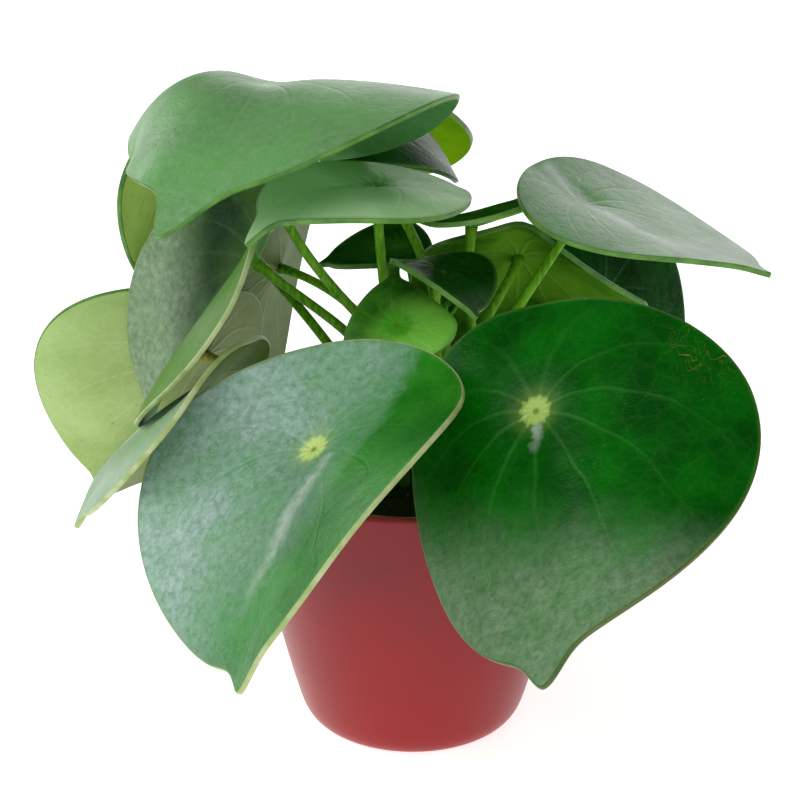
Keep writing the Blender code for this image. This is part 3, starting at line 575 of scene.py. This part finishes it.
@cache
def leafUnder(tone):
    # thin cuticle without the gloss: pale flesh with raised veins
    look = underTones[tone]
    material, add, shader = newMaterial("leafUnderside" + tone.capitalize(), {
        "Roughness": 0.55, "Specular IOR Level": look.get("shine", 0.08)})
    flat, reach, line, net = veinPattern(add)
    place = add("TexCoord", {}, "Object")
    cloud = add("TexNoise", {"Vector": place, "Scale": perMm(leafGrain["underCloud"]), "Detail": 4.0})
    cloud = add("MapRange", {"Value": cloud, "From Min": 0.36, "From Max": 0.68})
    speck = add("TexNoise", {"Vector": place, "Scale": perMm(leafGrain["speck"]), "Detail": 1.0})
    speck = add("MapRange", {"Value": speck, "From Min": 0.72, "From Max": 0.78, "To Max": 0.5})
    covers = [(cloud, look["light"])] + veinCovers(add, look, line, net, 0.12) + [(speck, "#5C6E34")]
    colour = layColours(add, look["dark"], covers)
    # painted shadow: the flesh is darker where another leaf covers it
    if "shade" in look:
        low, high, least = look["shade"]
        lit = add("SeparateXYZ", {0: flat}, "Y")
        lit = add("MapRange", {"Value": lit, "From Min": low, "From Max": high, "To Min": least})
        colour = add("VectorMath", {0: colour, "Scale": lit}, operation="SCALE")
    grain = add("TexNoise", {"Vector": place, "Scale": perMm(leafGrain["underGrain"]), "Detail": 3.0})
    fine = add("Bump", {"Height": grain, "Strength": 0.15, "Distance": 0.0003})
    ridge = add("Bump", {"Height": line, "Strength": 0.4, "Distance": 0.0009, "Normal": fine})
    setInputs(shader, {"Base Color": colour, "Normal": ridge})
    return material


@cache
def leafMargin(tone):
    # the rounded rim of the blade, where the flesh is nearly clear
    material, add, shader = newMaterial("clearLeafMargin" + tone.capitalize(), {"Roughness": 0.4, "IOR": 1.42})
    place = add("TexCoord", {}, "Object")
    drift = add("TexNoise", {"Vector": place, "Scale": perMm(leafGrain["margin"]), "Detail": 3.0})
    drift = add("MapRange", {"Value": drift, "From Min": 0.4, "From Max": 0.62})
    near, far = marginTones[tone]
    setInputs(shader, {"Base Color": layColours(add, near, ((drift, far),))})
    return material


@cache
def stalkSkin(tone):
    # smooth fleshy stalk: olive green with faint long streaks, browner at the foot
    low, high = stalkTones[tone]
    material, add, shader = newMaterial("fleshyStalk" + tone.capitalize(), {
        "Roughness": 0.34, "IOR": 1.42, "Specular IOR Level": 0.1})
    along = add("Attribute", {}, "Fac", attribute_name="share")
    place = add("TexCoord", {}, "Object")
    drawn = add("Mapping", {"Vector": place, "Scale": (1.0, 1.0, 0.12)})
    streak = add("TexNoise", {"Vector": drawn, "Scale": perMm(leafGrain["streak"]), "Detail": 3.0})
    streak = add("MapRange", {"Value": streak, "From Min": 0.35, "From Max": 0.7})
    foot = add("MapRange", {"Value": along, "From Min": 0.02, "From Max": 0.35, "To Min": 0.55, "To Max": 0.0})
    setInputs(shader, {"Base Color": layColours(add, low, ((streak, high), (foot, "#4A5018"))),
                       "Normal": add("Bump", {"Height": streak, "Strength": 0.2, "Distance": 0.0003})})
    return material


# blade finish: flesh thickness, rounded margin and the slight unevenness of a grown leaf
leafFinish = {
    "rings": 30, "spokes": 128, "tipCrowding": 1.3, "thickness": 1.7, "marginRound": 0.75, "tipSharpness": 0.15,
    "dimpleDepth": 0.018, "dimpleSpread": 0.09, "creaseReach": 0.12, "ripple": 0.6, "rippleSize": 24.0,
    "ringCrowding": 1.25, "marginSegments": 3, "arcSteps": 60,
}

# petioles: round fleshy stalks, a little stouter at the foot and where they meet the blade
petiole = {"crown": (8.0, 2.0), "foot": 84.0, "bend": 91.0, "steps": 30, "sides": 16,
           "footRadius": 2.1, "radius": 1.65, "neckRadius": 1.5, "jointRadius": 2.1}


def turningArc(angleAt, length):
    # running places (along, height, angle) on a curve whose slope angle is given
    count = leafFinish["arcSteps"]
    step = length / count
    rows = [(0.0, 0.0, angleAt(0.0))]
    for k in range(1, count + 1):
        angle = angleAt(k * step)
        middle = (angle + rows[-1][2]) / 2
        rows.append((rows[-1][0] + step * cos(middle), rows[-1][1] + step * sin(middle), angle))
    return length, rows


def onArc(arc, distance):
    length, rows = arc
    place = min(max(distance / length, 0.0), 1.0) * (len(rows) - 1)
    k = min(int(place), len(rows) - 2)
    part = place - k
    return [a + (b - a) * part for a, b in zip(rows[k], rows[k + 1])]


def leafFrame(leaf):
    # directions to the tip, to the left and out of the upper side
    heading, pitch, roll = radians(leaf["heading"]), radians(leaf["pitch"]), radians(leaf["roll"])
    ahead = Vector((cos(heading) * cos(pitch), sin(heading) * cos(pitch), -sin(pitch)))
    level = Vector((-sin(heading), cos(heading), 0.0))
    up = ahead.cross(level)
    return ahead, level * cos(roll) + up * sin(roll), up * cos(roll) - level * sin(roll)


def bladeShape(leaf):
    # returns a function from (share, bearing) to the flat place and the bent place, both in mm
    length, half = leaf["length"], leaf["width"] / 2
    front = (1 - leaf["behind"]) * length + leaf["tip"]
    back = leaf["behind"] * length
    fulls = (leaf["full"] + leaf["fullSide"], leaf["full"] - leaf["fullSide"])
    widest = [max(sin(radians(k)) * (1 - full * cos(radians(k))) for k in range(181)) for full in fulls]
    crease = radians(leaf["crease"])

    def across(turn):
        reach = leafFinish["creaseReach"] * half
        return turningArc(lambda d: crease * min(d / reach, 1.0) + radians(turn) * d / half, half * 1.3)

    left, right = across(leaf["turnLeft"]), across(leaf["turnRight"])
    toTip = turningArc(lambda d: -radians(leaf["turnTip"]) * (d / front) ** leaf["tipRate"], front * 1.05)
    toBase = turningArc(lambda d: -radians(leaf["turnBase"]) * d / back, back * 1.05)

    def place(share, bearing):
        k = 0 if bearing >= 0 else 1
        flatX = (0.5 - leaf["behind"]) * length + length / 2 * cos(bearing)
        flatX += leaf["tip"] * exp(-(bearing / leafFinish["tipSharpness"]) ** 2)
        flatY = half * sin(bearing) * (1 - fulls[k] * cos(bearing)) / widest[k]
        flatY *= 1 + leaf["side"] if k == 0 else 1 - leaf["side"]
        edge = Vector((flatX, flatY)).length
        flatX, flatY = flatX * share, flatY * share
        y, height, _ = onArc(left if flatY >= 0 else right, abs(flatY))
        y = y if flatY >= 0 else -y
        x, lift, slope = onArc(toTip if flatX >= 0 else toBase, abs(flatX))
        if flatX < 0:
            x, slope = -x, -slope
        reach = max(flatX / front, -1.0)
        twist = radians(leaf["twist"]) * reach
        y, z = y * cos(twist) - height * sin(twist), y * sin(twist) + height * cos(twist)
        y += leaf["lean"] * max(reach, 0.0) ** 2
        spread = (flatX ** 2 + flatY ** 2) / (leafFinish["dimpleSpread"] * length) ** 2
        z -= leafFinish["dimpleDepth"] * length * exp(-spread)
        where = Vector((flatX, flatY, leaf["width"] * 3.0)) / leafFinish["rippleSize"]
        z += leafFinish["ripple"] * share ** 2 * (1 - 0.5 * share) * noise.noise(where)
        return (flatX, flatY, edge * (1 - share)), Vector((x - z * sin(slope), y, lift + z * cos(slope)))

    return place


def bladeForm(leaf):
    # a spun disc bent to the blade's form, with its flat place kept for the vein pattern
    form = bmesh.new()
    layers = [form.verts.layers.float.new(key) for key in ("flatX", "flatY", "inward", "share")]
    rings = leafFinish["rings"]
    crowding = leafFinish["ringCrowding"]
    spoke = [form.verts.new((1 - (1 - k / rings) ** crowding, 0.0, 0.0)) for k in range(rings + 1)]
    edges = [form.edges.new(pair) for pair in zip(spoke[:-1], spoke[1:])]
    bmesh.ops.spin(form, geom=spoke + edges, cent=(0, 0, 0), axis=(0, 0, 1), angle=2 * pi,
                   steps=leafFinish["spokes"], use_merge=True)
    bmesh.ops.remove_doubles(form, verts=form.verts, dist=mergeDistance)
    place = bladeShape(leaf)
    ahead, left, up = leafFrame(leaf)
    at = Vector(leaf["at"])
    for vertex in form.verts:
        share = min(vertex.co.length, 1.0)
        turn = Vector((1.0, 0.0)).angle_signed(vertex.co.xy, 0.0) / -pi if share > 0.0001 else 0.0
        bearing = pi * abs(turn) ** leafFinish["tipCrowding"] * (1 if turn >= 0 else -1)
        flat, bent = place(share, bearing)
        for layer, value in zip(layers, flat + (share,)):
            vertex[layer] = value
        vertex.co = (at + ahead * bent.x + left * bent.y + up * bent.z) * mm
    bmesh.ops.recalc_face_normals(form, faces=form.faces)
    centre = min(form.verts, key=lambda vertex: vertex[layers[3]])
    if centre.normal.dot(up) < 0:
        bmesh.ops.reverse_faces(form, faces=form.faces)
    return form


def thickened(form, name):
    # gives the open blade its flesh, with the underside and the rim on their own material slots
    mesh = bpy.data.meshes.new(name)
    form.to_mesh(mesh)
    form.free()
    sheet = bpy.data.objects.new(name, mesh)
    bpy.context.scene.collection.objects.link(sheet)
    for k in range(4):
        mesh.materials.append(None)
    flesh = sheet.modifiers.new("flesh", "SOLIDIFY")
    flesh.thickness = leafFinish["thickness"] * mm
    flesh.offset = -1.0
    flesh.material_offset = 1
    flesh.material_offset_rim = 2
    solid = bmesh.new()
    solid.from_object(sheet, bpy.context.evaluated_depsgraph_get())
    bpy.data.objects.remove(sheet)
    bpy.data.meshes.remove(mesh)
    rim = [edge for edge in solid.edges if {face.material_index for face in edge.link_faces} in ({0, 2}, {1, 2})]
    rounded = bmesh.ops.bevel(solid, geom=rim, offset=leafFinish["marginRound"] * mm, offset_type="OFFSET",
                              segments=leafFinish["marginSegments"], profile=0.5, affect="EDGES", material=-1,
                              clamp_overlap=True)
    for face in rounded["faces"]:
        face.material_index = 2
    return solid


def petiolePath(leaf):
    # centre line in mm: straight out of the soil, then one bend to the underside of the blade
    distance, bearing = leaf["foot"]
    x = petiole["crown"][0] + distance * cos(radians(bearing))
    y = petiole["crown"][1] + distance * sin(radians(bearing))
    _, _, up = leafFrame(leaf)
    start = Vector((x, y, petiole["bend"]))
    end = Vector(leaf["at"]) - up * (leafFinish["dimpleDepth"] * leaf["length"] + leafFinish["thickness"] * 0.75)
    first = start + Vector((0.0, 0.0, leaf["rise"]))
    second = end - up * leaf["reach"] + Vector(leaf["shift"])
    path = [Vector((x, y, petiole["foot"]))]
    for k in range(petiole["steps"] + 1):
        t = k / petiole["steps"]
        u = 1 - t
        path.append(start * u ** 3 + first * (3 * u * u * t) + second * (3 * u * t * t) + end * t ** 3)
    return path


def addPetiole(form, path):
    # a ring of edges extruded along the path, closed at both ends
    share = form.verts.layers.float["share"]
    inward = form.verts.layers.float["inward"]
    old = set(form.verts)
    ring = bmesh.ops.create_circle(form, cap_ends=True, segments=petiole["sides"], radius=1.0)["verts"]
    edges = list({edge for vertex in ring for edge in vertex.link_edges})
    last = len(path) - 1
    turn = Matrix.Identity(3)
    axis = Vector((0.0, 0.0, 1.0))
    pose = Matrix.Identity(4)
    for k, point in enumerate(path):
        along = (path[min(k + 1, last)] - path[max(k - 1, 0)]).normalized()
        turn = axis.rotation_difference(along).to_matrix() @ turn
        axis = along
        t = k / last
        radius = petiole["radius"] + (petiole["footRadius"] - petiole["radius"]) * max(0.0, 1 - 4 * t) ** 2
        radius += (petiole["neckRadius"] - petiole["radius"]) * t
        radius += (petiole["jointRadius"] - petiole["neckRadius"]) * max(0.0, 8 * t - 7) ** 2
        goal = Matrix.Translation(point * mm) @ (turn * (radius * mm)).to_4x4()
        if k:
            grown = bmesh.ops.extrude_edge_only(form, edges=edges)["geom"]
            ring = [item for item in grown if isinstance(item, bmesh.types.BMVert)]
            edges = [item for item in grown if isinstance(item, bmesh.types.BMEdge) and
                     item.verts[0] in ring and item.verts[1] in ring]
        bmesh.ops.transform(form, matrix=goal @ pose.inverted(), verts=ring)
        pose = goal
        for vertex in ring:
            vertex[share] = t
            vertex[inward] = 99.0
    bmesh.ops.holes_fill(form, edges=edges, sides=petiole["sides"])
    faces = list({face for vertex in form.verts if vertex not in old for face in vertex.link_faces})
    for face in faces:
        face.material_index = 3
    bmesh.ops.recalc_face_normals(form, faces=faces)


def makeLeaf(name, leaf):
    form = thickened(bladeForm(leaf), name)
    addPetiole(form, petiolePath(leaf))
    flatX, flatY = form.verts.layers.float["flatX"], form.verts.layers.float["flatY"]
    flat = form.loops.layers.uv.new("flat")
    for face in form.faces:
        for loop in face.loops:
            loop[flat].uv = (loop.vert[flatX] / 100, loop.vert[flatY] / 100)
    materials = [leafTop(leaf["top"]), leafUnder(leaf["under"]), leafMargin(leaf["margin"]),
                 stalkSkin(leaf["stalk"])]
    finishPiece(form, name + "_leaf", materials, leaf["slot"], name)


# short upright stem: fleshy, ringed by leaf scars, with young folded leaves round its tip
stem = {
    "radius": 4.6, "foot": 62.0, "tip": 137.0, "rings": 60, "steps": 24, "scarStep": 9.0, "scarDepth": 0.35,
    "taper": 9.0, "lump": 0.06, "lumpScale": 180, "shootThickness": 0.7, "shootSink": 5.0,
    "shoots": (
        # heading and rise in degrees, length and width in mm, fold in degrees, how far the tip bends over in mm
        (-70, 72, 19, 8, 50, 3.0), (20, 66, 16, 7, 45, 2.0), (150, 70, 17, 6, 60, 2.5), (250, 50, 11, 5, 30, 3.5),
    ),
}


def addShoot(form, shoot, flat):
    # a young leaf: narrow, folded along its midrib, bending over at the tip
    heading, rise, length, width, fold, droop = shoot
    old = set(form.verts)
    leaflet = bmesh.ops.create_grid(form, x_segments=12, y_segments=6, size=0.5)["verts"]
    faces = list({face for vertex in leaflet for face in vertex.link_faces})
    for face in faces:
        face.material_index = 1
        for loop in face.loops:
            loop[flat].uv = (0.12 + 0.1 * loop.vert.co.x, 0.06 * loop.vert.co.y)
    for vertex in leaflet:
        along, side = vertex.co.x + 0.5, vertex.co.y * 2
        half = width / 2 * sin(pi * min(along * 1.02, 1.0) ** 0.75) * abs(side) + 0.15 * abs(side)
        turn = radians(fold)
        vertex.co = Vector((length * along, half * cos(turn) * (1 if side > 0 else -1),
                            half * sin(turn) - droop * along ** 2)) * mm
    bmesh.ops.solidify(form, geom=faces, thickness=stem["shootThickness"] * mm)
    grown = [vertex for vertex in form.verts if vertex not in old]
    pose = Matrix.Translation(Vector(petiole["crown"] + (stem["tip"] - stem["shootSink"],)) * mm)
    pose = pose @ Matrix.Rotation(radians(heading), 4, "Z") @ Matrix.Rotation(-radians(rise), 4, "Y")
    bmesh.ops.transform(form, matrix=pose, verts=grown)


def makeStem():
    form = bmesh.new()
    share = form.verts.layers.float.new("share")
    inward = form.verts.layers.float.new("inward")
    flat = form.loops.layers.uv.new("flat")
    profile = [(0.0, stem["foot"])]
    for k in range(stem["rings"] + 1):
        height = stem["foot"] + (stem["tip"] - stem["foot"]) * k / stem["rings"]
        radius = stem["radius"] * min(1.0, ((stem["tip"] - height) / stem["taper"]) ** 0.5 + 0.02)
        radius -= stem["scarDepth"] * max(0.0, cos(2 * pi * height / stem["scarStep"])) ** 8
        profile.append((max(radius, 0.05), height))
    spinProfile(form, profile + [(0.0, stem["tip"])], stem["steps"])
    for vertex in form.verts:
        vertex[share] = max(0.0, (vertex.co.z / mm - stem["foot"]) / (stem["tip"] - stem["foot"])) * 0.5
        vertex.co.xy *= 1 + stem["lump"] * noise.noise(vertex.co * stem["lumpScale"])
    bmesh.ops.translate(form, verts=form.verts, vec=(petiole["crown"][0] * mm, petiole["crown"][1] * mm, 0.0))
    for shoot in stem["shoots"]:
        addShoot(form, shoot, flat)
    for vertex in form.verts:
        vertex[inward] = 20.0
    finishPiece(form, "ringed_stem", [stalkSkin("olive"), leafUnder("moss")], "stem_tissue", "stem")
    print("stem made")


# a white table lit from beneath, a soft key above the camera and low soft boxes at the left and behind
studio = {
    "floor": "#FBFBFA", "floorSize": 8.0, "floorGlow": 0.75, "world": "#FFFFFF", "worldStrength": 0.06,
    "boxes": (
        # place in m, width and depth in m, power in W
        ("keyBox", (-0.4, -1.5, 1.8), 2.2, 1.8, 28.0),
        ("leftBox", (-1.9, 0.0, 1.15), 1.5, 0.7, 14.0),
        ("backLeftBox", (-1.38, 1.38, 0.85), 0.7, 1.1, 9.0),
        ("backBox", (0.5, 2.2, 0.6), 1.8, 1.0, 12.0),
        ("fillBox", (0.8, -2.0, 0.8), 1.4, 1.0, 10.0),
    ),
    "aim": (0.0, 0.0, 0.12),
}
viewpoint = {"place": (-4.2, -837.0, 483.0), "pitch": 23.9, "lens": 128.25, "sensor": 36.0}


def makeStudio():
    sweep, _, _ = newMaterial("whitePaperSweep", {  # plain matt paper, lit from beneath
        "Base Color": studio["floor"], "Roughness": 0.9, "Emission Color": studio["world"],
        "Emission Strength": studio["floorGlow"]})
    form = bmesh.new()
    bmesh.ops.create_grid(form, x_segments=1, y_segments=1, size=studio["floorSize"] / 2)
    mesh = bpy.data.meshes.new("floor")
    form.to_mesh(mesh)
    form.free()
    floor = bpy.data.objects.new("floor", mesh)
    floor.data.materials.append(sweep)
    bpy.context.scene.collection.objects.link(floor)
    world = bpy.data.worlds.new("studio")
    world.use_nodes = True
    setInputs(world.node_tree.nodes["Background"], {"Color": studio["world"],
                                                    "Strength": studio["worldStrength"]})
    bpy.context.scene.world = world
    for name, place, width, depth, power in studio["boxes"]:
        light = bpy.data.lights.new(name, "AREA")
        light.shape = "RECTANGLE"
        light.size, light.size_y, light.energy = width, depth, power
        box = bpy.data.objects.new(name, light)
        box.location = place
        box.visible_camera = False
        box.rotation_euler = (Vector(studio["aim"]) - Vector(place)).to_track_quat("-Z", "Y").to_euler()
        bpy.context.scene.collection.objects.link(box)
    camera = bpy.data.cameras.new("camera")
    camera.lens = viewpoint["lens"]
    camera.sensor_width = viewpoint["sensor"]
    eye = bpy.data.objects.new("camera", camera)
    eye.location = Vector(viewpoint["place"]) * mm
    eye.rotation_euler = (radians(90 - viewpoint["pitch"]), 0.0, 0.0)
    bpy.context.scene.collection.objects.link(eye)
    bpy.context.scene.camera = eye
    bpy.context.scene.view_settings.view_transform = "Standard"  # plain contrast, as in a product photograph
    print("studio set")


makePot()
makeSoil()
makeStem()
for name, leaf in leaves.items():
    makeLeaf(name, leaf)
print("leaves made")
makeStudio()
